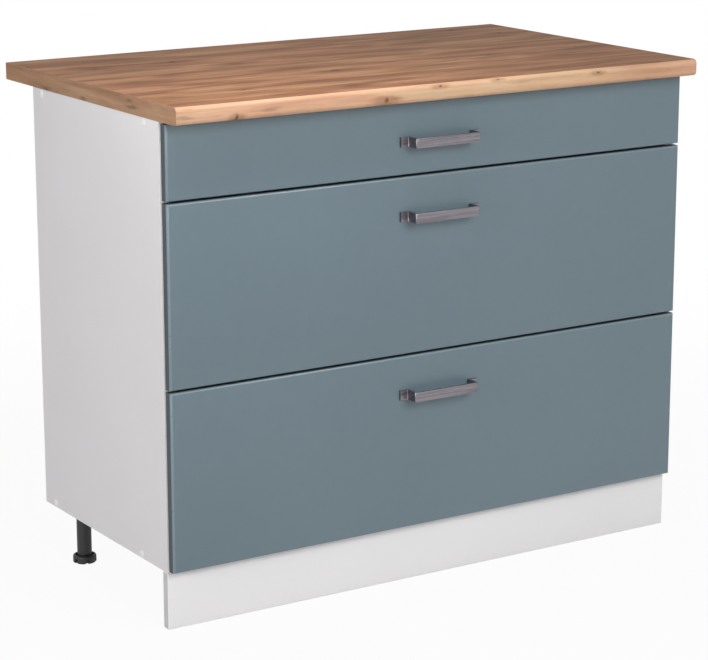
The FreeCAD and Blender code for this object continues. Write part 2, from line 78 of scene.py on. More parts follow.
# %% Camera
CAMERA_SPOT = Vector((-2.2218, -3.5118, 1.3960))
CAMERA_YAW = radians(32.35)      # turned from +Y towards +X
CAMERA_PITCH = radians(13.84)    # tilted down
CAMERA_ROLL = radians(-0.09)
LENS = 125.6                     # millimetres, on a sensor 36 mm wide

camera_data = bpy.data.cameras.new("product_camera")
camera_data.lens = LENS
camera_data.sensor_width = 36
camera_data.sensor_fit = "HORIZONTAL"
camera = bpy.data.objects.new("product_camera", camera_data)
bpy.context.scene.collection.objects.link(camera)
camera.matrix_world = (
    Matrix.Translation(CAMERA_SPOT)
    @ Matrix.Rotation(-CAMERA_YAW, 4, "Z")
    @ Matrix.Rotation(pi / 2 - CAMERA_PITCH, 4, "X")
    @ Matrix.Rotation(CAMERA_ROLL, 4, "Z")
)
bpy.context.scene.camera = camera
print("camera at", [round(value, 3) for value in camera.location])

# %% [markdown]
# ## Colours and nodes
# Colours are written as sRGB hex values, as a paint chart gives them. Blender's shaders count in
# linear light, so one function turns the first into the second. One more small function adds a
# shader node with its settings and links, which keeps each material readable.

# %% Colour and node helpers
def srgb(hex_code):
    """A linear colour from an sRGB hex value."""
    parts = [int(hex_code[i:i + 2], 16) / 255 for i in (1, 3, 5)]
    return [c / 12.92 if c <= 0.04045 else ((c + 0.055) / 1.055) ** 2.4 for c in parts] + [1.0]


def add(tree, kind, inputs=None, stops=None, **settings):
    """Adds a node: settings, inputs (each a value or another node's output), and a ramp's stops."""
    node = tree.nodes.new(kind)
    for name, value in settings.items():
        setattr(node, name, value)
    for name, value in (inputs or {}).items():
        if isinstance(value, bpy.types.NodeSocket):
            tree.links.new(value, node.inputs[name])
        else:
            node.inputs[name].default_value = value
    while stops and len(node.color_ramp.elements) < len(stops):
        node.color_ramp.elements.new(0.5)
    for (spot, tone), element in zip(stops or (), node.color_ramp.elements if stops else ()):
        element.position = spot
        element.color = srgb(tone) if isinstance(tone, str) else (tone, tone, tone, 1)
    return node


def start_material(name):
    """A new material, its node tree and its Principled shader."""
    material = bpy.data.materials.new(name)
    material.use_nodes = True
    tree = material.node_tree
    tree.nodes.clear()
    shader = add(tree, "ShaderNodeBsdfPrincipled")
    add(tree, "ShaderNodeOutputMaterial", {"Surface": shader.outputs["BSDF"]})
    return material, tree, shader


print("helpers ready")

# %% [markdown]
# ## One recipe for finely grained surfaces
# Pressed boards, moulded plastics, foils and powder coats look different, but each is one colour
# with one grain of a real size. So they share a recipe. A noise of that grain tints the colour,
# wavers the gloss and lifts the surface, and a slow cloud keeps large faces from looking flat.
# What differs, and what makes each of them itself, is the numbers.

# %% Grained surface recipe
CLOUD = 350 * MM                 # how far apart the slow changes of shade lie
GRAIN_SHARE = 0.35               # how much the grain tints, next to the slow changes


def grained(name, tones, grain, gloss, relief, ior=None):
    """A finish of two close tones. Grain and relief are lengths, and gloss a range of roughness.

    With an index of refraction it is a board, foil, coat or plastic, and without one a metal.
    """
    material, tree, shader = start_material(name)
    where = add(tree, "ShaderNodeTexCoord").outputs["Object"]
    grains, cloud = (
        add(tree, "ShaderNodeTexNoise",
            {"Vector": where, "Scale": 1 / apart, "Detail": 2.0}).outputs["Fac"]
        for apart in (grain, CLOUD))
    both = add(tree, "ShaderNodeMath", {0: grains, 1: GRAIN_SHARE, 2: cloud},
               operation="MULTIPLY_ADD").outputs[0]
    tint = add(tree, "ShaderNodeValToRGB", {"Fac": both}, [(0.45, tones[0]), (0.90, tones[1])])
    shine = add(tree, "ShaderNodeMapRange",
                {"Value": grains, "To Min": gloss[0], "To Max": gloss[1]})
    lift = add(tree, "ShaderNodeBump", {"Height": grains, "Strength": 1.0, "Distance": relief})
    tree.links.new(tint.outputs["Color"], shader.inputs["Base Color"])
    tree.links.new(shine.outputs["Result"], shader.inputs["Roughness"])
    tree.links.new(lift.outputs["Normal"], shader.inputs["Normal"])
    if ior:
        shader.inputs["IOR"].default_value = ior
    else:
        shader.inputs["Metallic"].default_value = 1.0
    return material


print("recipe ready")

# %% [markdown]
# ## White boards and their edges
# The carcass is melamine-faced chipboard: paper soaked in resin, pressed onto the board against a
# plate with a fine pearl texture. It is a neutral white, not quite matt, and the pearls, about 1
# mm apart, spread the highlights; they are drawn 2 mm apart so that a small render can show them.
# Edges in sight have a strip of white ABS, smoother than the faces, and painted a little whiter than
# them as light along the edges. The plinth is wrapped in a white foil, painted brighter than the
# boards as light on it, and its end faces are painted grey as shade. Edges that meet a wall or
# another board are left raw, and show pressed wood chips a few millimetres long.

# %% White boards
white_melamine = grained("white_melamine", ("#E9E6E8", "#EFECEE"), 2 * MM, (0.42, 0.52), 0.012 * MM,
                         1.5)
# the edging's white is painted a little whiter than the faces', as light along the edges
white_edging_painted_light = grained("white_abs_edging_painted_light", ("#F9F7F8", "#FDFBFC"), 4 * MM, (0.30, 0.36), 0.004 * MM,
                       1.53)
# the plinth's white is painted brighter than the boards', as light on it
plinth_foil_painted_light = grained("plinth_white_foil_painted_light", ("#FAF8F9", "#FDFBFC"), 4 * MM, (0.34, 0.42), 0.004 * MM,
                      1.53)
# the plinth's end faces are painted grey, as shade
plinth_end_painted_shade = grained("plinth_end_painted_shade", ("#CFCDCF", "#D5D3D5"), 4 * MM, (0.40, 0.48), 0.004 * MM,
                        1.53)
raw_chipboard = grained("raw_chipboard", ("#9B8366", "#CFB998"), 3 * MM, (0.80, 0.95), 0.25 * MM,
                        1.5)
print(white_melamine.name, white_edging_painted_light.name, raw_chipboard.name)

# %% [markdown]
# ## Blue-grey front foil
# The fronts are fibreboard with a satin PVC foil drawn over the face and its rounded edges. The
# foil is even in colour, with a slow orange-peel ripple from the vacuum press, some 15 mm from
# crest to crest, which makes the satin reflection waver. On the bends over the edges the foil is
# painted lighter, as a painted highlight. Round the rim, over the board's cut side, it is duller,
# and its colour is painted darker there as shade.

# %% Front foil
blue_grey_foil = grained("blue_grey_foil", ("#6C7E87", "#70828B"), 15 * MM, (0.30, 0.34), 0.03 * MM,
                         1.53)
# the rim's foil: its colour is painted darker, as shade
rim_foil_painted_shade = grained("foil_rim_painted_shade", ("#363F44", "#3B4449"), 9 * MM, (0.50, 0.60),
                         0.03 * MM, 1.53)
# the bends' foil: its colour is painted lighter, as a highlight
bend_foil_painted_highlight = grained("foil_bend_painted_highlight", ("#7E9099", "#82949D"), 9 * MM, (0.26, 0.30), 0.02 * MM,
                    1.53)
print(blue_grey_foil.name, rim_foil_painted_shade.name)

# %% [markdown]
# ## Plastics, coated sheet, zinc and hardboard
# Legs and clips are moulded polypropylene, black, with a spark-eroded grain. Rollers are white
# nylon, a little warm and waxy. Drawer sides and runners are steel sheet with a baked white epoxy
# coat, which dries slightly pebbled. Screws are zinc plated, a pale metal with a faint mottle. The
# back is hardboard, coated white towards the drawers and brown fibre behind. The worktop's
# underside is kraft paper. Grains under 1 mm are drawn 1 mm wide so that they can be seen.

# %% Other plain finishes
black_plastic = grained("black_polypropylene", ("#211F22", "#2B292C"), 1 * MM, (0.46, 0.58),
                        0.03 * MM, 1.49)
white_nylon = grained("white_nylon", ("#DFDDD7", "#EAE8E3"), 3 * MM, (0.34, 0.42), 0.01 * MM, 1.53)
white_cap = grained("white_cover_cap", ("#FAF9FA", "#FDFCFD"), 3 * MM, (0.24, 0.30), 0.004 * MM,
                    1.49)
epoxy_coat = grained("white_epoxy_coat", ("#DCDDDC", "#E6E7E6"), 2 * MM, (0.30, 0.40), 0.03 * MM,
                     1.55)
zinc_plate = grained("zinc_plate", ("#B2B3AF", "#CDCEC9"), 1.5 * MM, (0.26, 0.40), 0.01 * MM)
hardboard = grained("brown_hardboard", ("#93734F", "#A3835E"), 2.5 * MM, (0.70, 0.85), 0.08 * MM,
                    1.5)
kraft_paper = grained("kraft_backing_paper", ("#9C8163", "#AD9272"), 2 * MM, (0.75, 0.85),
                      0.03 * MM, 1.5)
print("finishes", len(bpy.data.materials))

# %% [markdown]
# ## Oak laminate
# The worktop is chipboard under a printed oak laminate, which runs over the rounded nose without a
# seam. The print shows growth lines about 14 mm apart that swing wide round each other, soft brown
# patches 34 mm wide and seven times as long, finer streaks 8 mm wide, sparse dark flecks, knots
# and open pores. So waves and five noises are laid over each other, all drawn out along the grain.
# They are worked out from two distances, one along the grain and one across it, measured over the
# surface as if the laminate were laid flat. That carries the pattern over the nose. The knots are
# dark spots at their own places, and the hue drifts a little, from redder areas to greener ones.
# Pores, really 0.3 mm wide, are drawn 1.2 mm wide. The laminate is matt, with an index of
# refraction near 1.5.

# %% Oak laminate
GROWTH = 14 * MM
PATCH = 34 * MM
STREAK = 8 * MM
FLECK = 11 * MM
PORE = 1.2 * MM
KNOT_RIM = 5 * MM                # how far a knot's rim wavers
KNOT_WAVE = 6.25 * MM            # and how far apart its waves lie
WAVE = tau / 20                  # a wave texture's own step at a scale of 1


def oak_laminate(name, tones, along, across, knots=()):
    """Oak print in five tones: dark to light, then the knots'. Along and across are directions."""
    material, tree, shader = start_material(name)
    place = add(tree, "ShaderNodeTexCoord").outputs["Object"]
    run = add(tree, "ShaderNodeVectorMath", {0: place, 1: along},
              operation="DOT_PRODUCT").outputs["Value"]
    over = add(tree, "ShaderNodeVectorMath", {0: place, 1: across},
               operation="DOT_PRODUCT").outputs["Value"]
    flat = add(tree, "ShaderNodeCombineXYZ", {"X": run, "Y": over}).outputs[0]
    # patterns about 7, 8 and 20 times as long as they are wide
    broad, slow, fast = (
        add(tree, "ShaderNodeVectorMath", {0: flat, 1: (squeeze, 1, 1)},
            operation="MULTIPLY").outputs[0]
        for squeeze in (0.14, 0.12, 0.05))
    rings = add(tree, "ShaderNodeTexWave",
                {"Vector": slow, "Scale": WAVE / GROWTH, "Distortion": 11.0, "Detail": 2.0,
                 "Detail Scale": 0.5, "Detail Roughness": 0.55},
                bands_direction="Y")
    patches = add(tree, "ShaderNodeTexNoise", {"Vector": broad, "Scale": 1 / PATCH, "Detail": 5.0,
                                               "Roughness": 0.55, "Distortion": 0.6})
    hues = add(tree, "ShaderNodeTexNoise",
               {"Vector": slow, "Scale": 1 / (2 * PATCH), "Detail": 3.0})
    streaks = add(tree, "ShaderNodeTexNoise", {"Vector": fast, "Scale": 1 / STREAK, "Detail": 3.0})
    flecks = add(tree, "ShaderNodeTexNoise", {"Vector": slow, "Scale": 1 / FLECK, "Detail": 1.5})
    pores = add(tree, "ShaderNodeTexNoise", {"Vector": fast, "Scale": 1 / PORE, "Detail": 1.0})
    colour = add(tree, "ShaderNodeValToRGB", {"Fac": patches.outputs["Fac"]},
                 [(0.30, tones[0]), (0.44, tones[1]), (0.56, tones[2]),
                  (0.70, tones[3])]).outputs["Color"]
    for layer, stops, weight in ((hues, [(0.40, "#FFF7F3"), (0.62, "#F8F9F1")], 1.00),
                                 (rings, [(0.0, 0.80), (0.7, 1.0)], 0.35),
                                 (streaks, [(0.30, 0.66), (0.58, 1.0)], 0.35),
                                 (flecks, [(0.24, 0.45), (0.35, 1.0)], 0.70),
                                 (pores, [(0.30, 0.70), (0.42, 1.0)], 0.35)):
        shade = add(tree, "ShaderNodeValToRGB", {"Fac": layer.outputs["Fac"]},
                    stops).outputs["Color"]
        colour = add(tree, "ShaderNodeMix", {0: weight, 6: colour, 7: shade},
                     data_type="RGBA", blend_type="MULTIPLY").outputs[2]
    # a knot's rim is uneven, and it is longer along the grain, as is the shadow round it
    rough = add(tree, "ShaderNodeTexNoise",
                {"Vector": flat, "Scale": 1 / KNOT_WAVE, "Detail": 2.0}).outputs["Color"]
    bent = add(tree, "ShaderNodeVectorMath", {0: rough, 1: [KNOT_RIM] * 3, 2: flat},
               operation="MULTIPLY_ADD").outputs[0]
    for spot, half_width in knots:
        centre = Vector((Vector(spot).dot(along), Vector(spot).dot(across), 0)) * MM
        centre += Vector([KNOT_RIM / 2] * 3)
        away = add(tree, "ShaderNodeVectorMath", {0: bent, 1: centre},
                   operation="SUBTRACT").outputs[0]
        # first the shadow and then the knot itself, each with its squeeze along the grain, its
        # reach in half-widths of the knot, and its depth
        for squeeze, reach, depth in ((0.30, 2.3, 0.40), (0.80, 1.0, 0.85)):
            far = add(tree, "ShaderNodeVectorMath", {0: away, 1: (squeeze, 1, 0)},
                      operation="MULTIPLY")
            far = add(tree, "ShaderNodeVectorMath", {0: far.outputs[0]}, operation="LENGTH")
            dark = add(tree, "ShaderNodeMapRange", {
                "Value": far.outputs["Value"], "From Min": 0.3 * reach * half_width * MM,
                "From Max": reach * half_width * MM, "To Min": depth, "To Max": 0.0},
                interpolation_type="SMOOTHSTEP")
            colour = add(tree, "ShaderNodeMix",
                         {0: dark.outputs["Result"], 6: colour, 7: srgb(tones[4])},
                         data_type="RGBA").outputs[2]
    lift = add(tree, "ShaderNodeBump",
               {"Height": pores.outputs["Fac"], "Strength": 1.0, "Distance": 0.02 * MM})
    tree.links.new(colour, shader.inputs["Base Color"])
    tree.links.new(lift.outputs["Normal"], shader.inputs["Normal"])
    shader.inputs["Roughness"].default_value = 0.62
    shader.inputs["IOR"].default_value = 1.5
    shader.inputs["Specular IOR Level"].default_value = 0.2
    return material


print("oak recipe ready")

# %% [markdown]
# The nose shows the same print, painted much paler than the top as light on the nose, with a few
# small reddish knots. The short ends have a strip of edge band whose grain runs from front to back.
# Knots are written in millimetres, with the half-width of each.

# %% Oak tones and knots
TOP_TONES = ("#734C2F", "#8C6143", "#A37655", "#BA8D6B", "#382114")
# the nose's tones are painted paler than the top's, as light on it
NOSE_TONES_PAINTED_LIGHT = ("#D9A98A", "#E0B395", "#E7BD9D", "#EDC7A8", "#7C4A2E")
BAND_TONES = ("#93705A", "#AD8669", "#BD9578", "#CCA88B", "#6A4A36")
TOP_KNOTS = (((-262, 154, 840), 8), ((-86, -84, 840), 9), ((-411, 144, 840), 6),
             ((382, 262, 840), 9), ((433, 181, 840), 6), ((-320, -190, 840), 4),
             ((240, -60, 840), 5))
NOSE_KNOTS = (((-24, -300, 836), 3.5), ((-126, -300, 821), 5), ((88, -300, 838), 3),
              ((-395, -300, 818), 3), ((290, -300, 833), 3))
BAND_KNOTS = (((-500, 10, 815), 2.5), ((-500, 145, 814), 2), ((-500, -150, 832), 2),
              ((500, 60, 825), 2.5))
ALONG_X, ALONG_Y = ((1, 0, 0), (0, 1, 1)), ((0, 1, 0), (1, 0, 1))
oak_top = oak_laminate("oak_laminate_top", TOP_TONES, *ALONG_X, TOP_KNOTS)
oak_nose_painted_light = oak_laminate("oak_laminate_nose_painted_light", NOSE_TONES_PAINTED_LIGHT, *ALONG_X, NOSE_KNOTS)
oak_band = oak_laminate("oak_edge_band", BAND_TONES, *ALONG_Y, BAND_KNOTS)
print(oak_top.name, oak_nose_painted_light.name, oak_band.name)

# %% [markdown]
# ## Brushed steel
# The handles are flat steel strap, brushed along its length and clear-coated. Brushing leaves fine
# scratches in X, so light spreads across them. Metallic is 1 and the colour is the steel's own
# grey. Scratches are far too fine to see, so the streaks are drawn 0.5 mm wide and 40 times as
# long.

# %% Brushed steel
SCRATCH = 0.5 * MM


def brushed_steel(name, tones):
    """Steel brushed along X: fine and broad streaks in its colour, gloss and relief."""
    material, tree, shader = start_material(name)
    place = add(tree, "ShaderNodeTexCoord").outputs["Object"]
    drawn = add(tree, "ShaderNodeVectorMath", {0: place, 1: (1 / 40, 1, 1)}, operation="MULTIPLY")
    streaks = add(tree, "ShaderNodeTexNoise",
                  {"Vector": drawn.outputs[0], "Scale": 1 / SCRATCH, "Detail": 3.0})
    bands = add(tree, "ShaderNodeTexNoise",
                {"Vector": drawn.outputs[0], "Scale": 1 / (6 * SCRATCH)})
    both = add(tree, "ShaderNodeMath", {0: streaks.outputs["Fac"], 1: 0.5, 2: bands.outputs["Fac"]},
               operation="MULTIPLY_ADD").outputs[0]
    tint = add(tree, "ShaderNodeValToRGB", {"Fac": both}, [(0.55, tones[0]), (0.95, tones[1])])
    shine = add(tree, "ShaderNodeMapRange",
                {"Value": streaks.outputs["Fac"], "To Min": 0.22, "To Max": 0.34})
    lift = add(tree, "ShaderNodeBump", {"Height": streaks.outputs["Fac"], "Strength": 1.0,
                                        "Distance": 0.01 * MM})
    tree.links.new(tint.outputs["Color"], shader.inputs["Base Color"])
    tree.links.new(shine.outputs["Result"], shader.inputs["Roughness"])
    tree.links.new(lift.outputs["Normal"], shader.inputs["Normal"])
    shader.inputs["Metallic"].default_value = 1.0
    return material


steel_strap = brushed_steel("brushed_steel", ("#736F75", "#918D92"))
print(steel_strap.name)

# %% [markdown]
# ## Finishes on the CAD pieces
# A piece whose CAD shape is right keeps it and only gets its finish. The slots in the record name
# what each piece is made of, so one table of slot and material dresses them all. Pieces that need
# rounder edges, threads or two finishes are made anew further down.

# %% Dress the CAD pieces
FINISH = {
    "white_melamine": white_melamine,
    "white_fibreboard": white_melamine,
    "oak_laminate": oak_top,
    "oak_edge_band": oak_band,
    "grey_front": blue_grey_foil,
    "brushed_steel": steel_strap,
    "black_plastic": black_plastic,
    "white_coated_steel": epoxy_coat,
    "white_nylon": white_nylon,
    "zinc_steel": zinc_plate,
}
for entry in frame["record"]["subparts"]:
    mesh = frame["nodes"][entry["node"]].data
    mesh.materials.clear()
    mesh.materials.append(FINISH[entry["material_slot"]])

# %% [markdown]
# ## Making pieces
# New pieces are built with bmesh from the CAD piece's own box, so they sit exactly where the CAD
# has them. One helper turns a bmesh into an object on its body. A second adds a box, a third spins
# an outline round an axis, as a lathe does, and a fourth draws an outline out to a bar.

# %% Piece helpers
def finish_piece(bm, name, body, materials, smooth=35, replaces=()):
    """Makes an object of a bmesh, smooths it where faces meet gently, and sets it on its body."""
    bmesh.ops.recalc_face_normals(bm, faces=bm.faces)
    mesh = bpy.data.meshes.new(name)
    bm.to_mesh(mesh)
    bm.free()
    for material in materials:
        mesh.materials.append(material)
    piece = bpy.data.objects.new(name, mesh)
    bpy.context.scene.collection.objects.link(piece)
    mesh.shade_smooth()
    mesh.set_sharp_from_angle(angle=radians(smooth))
    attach(piece, body)
    if replaces:
        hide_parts(*replaces)
    return piece


def block(bm, low, high):
    """Adds a box between two corners, and gives its new vertices."""
    made = bmesh.ops.create_cube(bm, size=1.0)["verts"]
    low, high = Vector(low), Vector(high)
    for vertex in made:
        vertex.co = (low + high) / 2 + Vector(a * b for a, b in zip(vertex.co, high - low))
    return made


def lathe(bm, outline, spot, axis, steps=32, dent=None):
    """Spins (radius, height) points round an axis; a radius of 0 closes an end.

    The function dent, of a point's level and step, moves it along the axis.
    """
    turn = Vector(axis).to_track_quat("Z", "Y").to_matrix()
    rings = []
    for level, (radius, height) in enumerate(outline):
        ring = []
        for step in range(steps if radius else 1):
            rise = height + (dent(level, step) if dent else 0)
            point = Vector((radius * cos(tau * step / steps), radius * sin(tau * step / steps),
                            rise))
            ring.append(bm.verts.new(Vector(spot) + turn @ point))
        rings.append(ring)
    for one, two in zip(rings, rings[1:]):
        for step in range(steps):
            after = (step + 1) % steps
            corners = [one[step % len(one)], one[after % len(one)], two[after % len(two)],
                       two[step % len(two)]]
            bm.faces.new(dict.fromkeys(corners))


def draw_out(bm, outline, start, end, corner):
    """Draws an outline of (a, b) points out to a bar; corner places a point at a distance."""
    near, far = ([bm.verts.new(corner(a, b, reach)) for a, b in outline] for reach in (start, end))
    bm.faces.new(near)
    bm.faces.new(far)
    for i in range(len(outline)):
        j = (i + 1) % len(outline)
        bm.faces.new((near[i], near[j], far[j], far[i]))


def edges_where(bm, test):
    """The edges whose two end points pass a test."""
    return [edge for edge in bm.edges if test(*(vertex.co for vertex in edge.verts))]


def arc(centre, radius, start, end, steps):
    """Points along an arc, from one angle to another."""
    return [(centre[0] + radius * cos(start + (end - start) * i / steps),
             centre[1] + radius * sin(start + (end - start) * i / steps)) for i in range(steps + 1)]


print("piece helpers ready")

# %% [markdown]
# ## Boards with eased edges
# A sawn board never has a knife edge: the edge strip is rounded by half a millimetre to two, and
# that thin rounding is what draws a light line along a white board. Each board is a box with all
# its edges bevelled by that much. Faces get their finish by the way they look: in sight, edged, or
# raw.

# %% Boards
def facing(direction):
    """A test for faces that look in one direction."""
    return lambda face: face.normal.dot(Vector(direction)) > 0.9


def make_board(node, body, finishes, ease=0.5 * MM):
    """A box with eased edges. Finishes: the main one, then (material, test) pairs."""
    bm = bmesh.new()
    block(bm, *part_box(node))
    bmesh.ops.bevel(bm, geom=bm.edges[:], offset=ease, segments=3, profile=0.5, affect="EDGES")
    bm.normal_update()
    for face in bm.faces:
        for index, (material, test) in enumerate(finishes[1:], 1):
            if test(face):
                face.material_index = index
    materials = [finishes[0]] + [material for material, test in finishes[1:]]
    return finish_piece(bm, node + "_dressed", body, materials, 60, [node])


LEFT, RIGHT = (-1, 0, 0), (1, 0, 0)
FRONT, BACK, UNDER, OVER = (0, -1, 0), (0, 1, 0), (0, 0, -1), (0, 0, 1)
for name in ("side_panel_left", "side_panel_right"):
    make_board(name, "carcass",
               [white_melamine, (white_edging_painted_light, facing(FRONT)), (white_edging_painted_light, facing(UNDER)),
                (raw_chipboard, facing(BACK)), (raw_chipboard, facing(OVER))],
               ease=1.0 * MM)
for name in ("bottom_panel", "top_rail_front"):
    make_board(name, "carcass",
               [white_melamine, (white_edging_painted_light, facing(FRONT)), (raw_chipboard, facing(BACK))])
# the plinth: its foil painted brighter as light, its end faces painted grey as shade
make_board("plinth_board", "carcass",
           [plinth_foil_painted_light, (plinth_end_painted_shade, facing(LEFT)), (plinth_end_painted_shade, facing(RIGHT)),
            (raw_chipboard, facing(UNDER))],
           ease=2.0 * MM)
make_board("back_panel", "carcass", [white_melamine, (hardboard, facing(BACK))])
for level in LEVELS:
    make_board("drawer_bottom_" + level, "drawer_" + level,
               [white_melamine, (raw_chipboard, facing(BACK))])
    make_board("drawer_back_" + level, "drawer_" + level,
               [white_melamine, (white_edging_painted_light, facing(OVER))])

# %% [markdown]
# ## Worktop
# The laminate is bent round the front edge with a radius of 8 mm, above and below, which fitters
# call postforming. The slab is its section drawn out along X, with arcs fine enough to shade as
# one curve. The section also shapes the two strips of edge band on its ends.

# %% Worktop
NOSE = 8 * MM
BAND = 0.8 * MM
slab_low, slab_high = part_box("worktop")
band_low, band_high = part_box("worktop_end_bands")


def slab_section():
    """The worktop's outline as (Y, Z) points, from the back over the top and round the nose."""
    low, high = slab_low, slab_high
    points = [(high.y, low.z), (high.y, high.z)]
    points += arc((low.y + NOSE, high.z - NOSE), NOSE, pi / 2, pi, 10)
    return points + arc((low.y + NOSE, low.z + NOSE), NOSE, pi, 3 * pi / 2, 10)


bm = bmesh.new()
draw_out(bm, slab_section(), slab_low.x, slab_high.x, lambda y, z, x: (x, y, z))
bmesh.ops.recalc_face_normals(bm, faces=bm.faces)
bm.normal_update()
for face in bm.faces:
    up, out = face.normal.z, face.normal.y
    # the nose's faces get the paler print, painted as light
    face.material_index = 0 if up > 0.95 else 2 if up < -0.99 else 3 if out > 0.9 else 1
worktop = finish_piece(bm, "postformed_worktop", "carcass",
                       [oak_top, oak_nose_painted_light, kraft_paper, raw_chipboard], 30, ["worktop"])
bm = bmesh.new()
for start in (band_low.x, band_high.x - BAND):
    draw_out(bm, slab_section(), start, start + BAND, lambda y, z, x: (x, y, z))
bands = finish_piece(bm, "worktop_edge_bands", "carcass", [oak_band], 30,
                     ["worktop_end_bands"])
print(worktop.name, len(worktop.data.polygons), bands.name)

# %% [markdown]
# ## Drawer fronts
# The foil wraps a front's face and rounds its four outer edges with a radius of about 4 mm. That
# rounding, with the painted highlight on the bends, draws the thin light line down each front's
# left edge. The back of the board is plain white melamine, so faces that look backwards get the
# second material, the sides, where the foil is stretched and painted darker as shade, the third,
# and the bends the fourth, a foil painted lighter as a highlight.

# %% Drawer fronts
FRONT_ROUND = 4.0 * MM


def make_front(level):
    """A front with rounded outer edges. The bend along its lower edge keeps the plain foil."""
    low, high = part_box("front_" + level)
    bm = bmesh.new()
    block(bm, low, high)
    rim = edges_where(bm, lambda a, b: abs(a.y - low.y) < 1e-6 and abs(b.y - low.y) < 1e-6)
    bmesh.ops.bevel(bm, geom=rim, offset=FRONT_ROUND, segments=6, profile=0.5, affect="EDGES")
    bm.normal_update()
    for face in bm.faces:
        centre, out = face.calc_center_median(), -face.normal.y
        # bends that look forward get the foil with the painted highlight, and the rim the one with
        # painted shade
        bend = 0.3 < out < 0.95 and face.normal.z > -0.3
        face.material_index = 1 if centre.y > high.y - 1e-5 else 2 if out < 0.1 else 3 if bend else 0
    return finish_piece(bm, "foil_front_" + level, "drawer_" + level,
                        [blue_grey_foil, white_melamine, rim_foil_painted_shade, bend_foil_painted_highlight], 60,
                        ["front_" + level])


for level in LEVELS:
    make_front(level)
print("fronts", LEVELS)

# %% [markdown]
# ## Strap handles
# A handle is one strap, 16 mm by 4 mm, bent to a bridge with its feet turned outwards. The bar's
# corners are bent to a 4 mm radius, and every long edge is eased by 0.5 mm, which gives the thin
# bright line along its top. The strap's outline is drawn once, in plan, and raised to its height.

# %% Strap handles
STRAP = 4 * MM
PAD = 14 * MM
CORNER = 4 * MM
EASE = 0.5 * MM


def strap_outline(low, high):
    """The strap in plan: its outside from right to left, then its inside from left to right."""
    tip, base, face = high.x, high.y, low.y
    bar = tip - PAD
    inner = bar - STRAP
    tight = CORNER / 3
    outside = [(tip, base), (tip, base - STRAP)]
    outside += arc((bar + tight, base - STRAP - tight), tight, pi / 2, pi, 4)
    outside += arc((bar - CORNER, face + CORNER), CORNER, 0, -pi / 2, 8)
    inside = [(inner, base)] + arc((inner - tight, face + STRAP + tight), tight, 0, -pi / 2, 4)
    return (outside + [(-x, y) for x, y in reversed(outside)]
            + [(-x, y) for x, y in inside] + list(reversed(inside)))


def make_handle(level):
    """One bent strap with eased long edges, except where it lies on the front."""
    low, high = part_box("handle_" + level)
    bm = bmesh.new()
    draw_out(bm, strap_outline(low, high), low.z, high.z, lambda x, y, z: (x, y, z))
    flat = edges_where(bm, lambda a, b: abs(a.z - b.z) < 1e-7 and max(a.y, b.y) < high.y - 1e-5)
    bmesh.ops.bevel(bm, geom=flat, offset=EASE, segments=2, profile=0.5, affect="EDGES")
    return finish_piece(bm, "strap_handle_" + level, "drawer_" + level,
                        [steel_strap], 40, ["handle_" + level])


for level in LEVELS:
    make_handle(level)
print("handles made")

# %% [markdown]
# ## Pan-head screws
# The runners, brackets, leg plates and drawer boards are held by small zinc-plated screws with a
# domed head and a cross recess. A head is spun from its outline, and the recess comes from
# lowering the inner points that lie on the cross's arms. All the screws of one body are one
# object. None is in the CAD model, where such small fasteners are left out, except the handles'.

# %% Screw heads
HEAD_STEPS = 24


def screw_head(bm, spot, axis, radius, rise):
    """Spins a domed head and lowers the points on the four arms of its cross recess."""
    outline = [(radius, -0.2 * MM), (radius, 0.35 * rise), (0.93 * radius, 0.62 * rise),
               (0.75 * radius, 0.85 * rise), (0.5 * radius, rise), (0.26 * radius, rise), (0, rise)]

    def cross(level, step):
        deep = {4: 0.3, 5: 0.65, 6: 0.7}.get(level, 0) * rise
        return -deep if level == 6 or step % (HEAD_STEPS // 4) == 0 else 0

    lathe(bm, outline, spot, axis, HEAD_STEPS, cross)


def make_screws(name, body, spots, axes, radius=3.4 * MM, rise=2.0 * MM, replaces=()):
    """One object of many screw heads, each at a spot and looking along its axis."""
    bm = bmesh.new()
    for spot, axis in zip(spots, axes):
        screw_head(bm, spot, axis, radius, rise)
    return finish_piece(bm, name, body, [zinc_plate], 35, replaces)


print("screw helpers ready")

# %% [markdown]
# Runners are screwed to the side panels in three places, where the rear roller passes clear of the
# heads. Leg plates have a screw in each corner.

# %% Carcass screws
RUNNER_SHEET = 1.2 * MM
RUNNER_SCREWS = (55 * MM, 190 * MM, 330 * MM)
PLATE_REACH = 22 * MM
PLATE_OFFSET = 12 * MM
spots, axes = [], []
for level in LEVELS:
    for side, sign in (("left", 1), ("right", -1)):
        low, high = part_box("runner_%s_%s" % (side, level))
        face = (low.x + RUNNER_SHEET) if sign > 0 else (high.x - RUNNER_SHEET)
        for back in RUNNER_SCREWS:
            spots.append((face, low.y + back, (low.z + high.z) / 2))
            axes.append((sign, 0, 0))
plate_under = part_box("leg_tubes")[1].z
for end in ("front", "rear"):
    for side, sign in (("left", 1), ("right", -1)):
        low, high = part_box("foot_%s_%s" % (end, side))
        x, y = (low.x + high.x) / 2 + sign * PLATE_OFFSET, (low.y + high.y) / 2
        for across, along in ((1, 1), (1, -1), (-1, 1), (-1, -1)):
            spots.append((x + across * PLATE_REACH, y + along * PLATE_REACH, plate_under))
            axes.append((0, 0, -1))
screws = make_screws("carcass_pan_screws", "carcass", spots, axes)
print(screws.name, len(spots))

# %% [markdown]
# On a drawer, two screws go through each bracket into the front and two into the side, two through
# each rear tab into the back board, and three up through each side's shelf into the bottom. The
# handle's two screws are larger, with their heads inside the front.

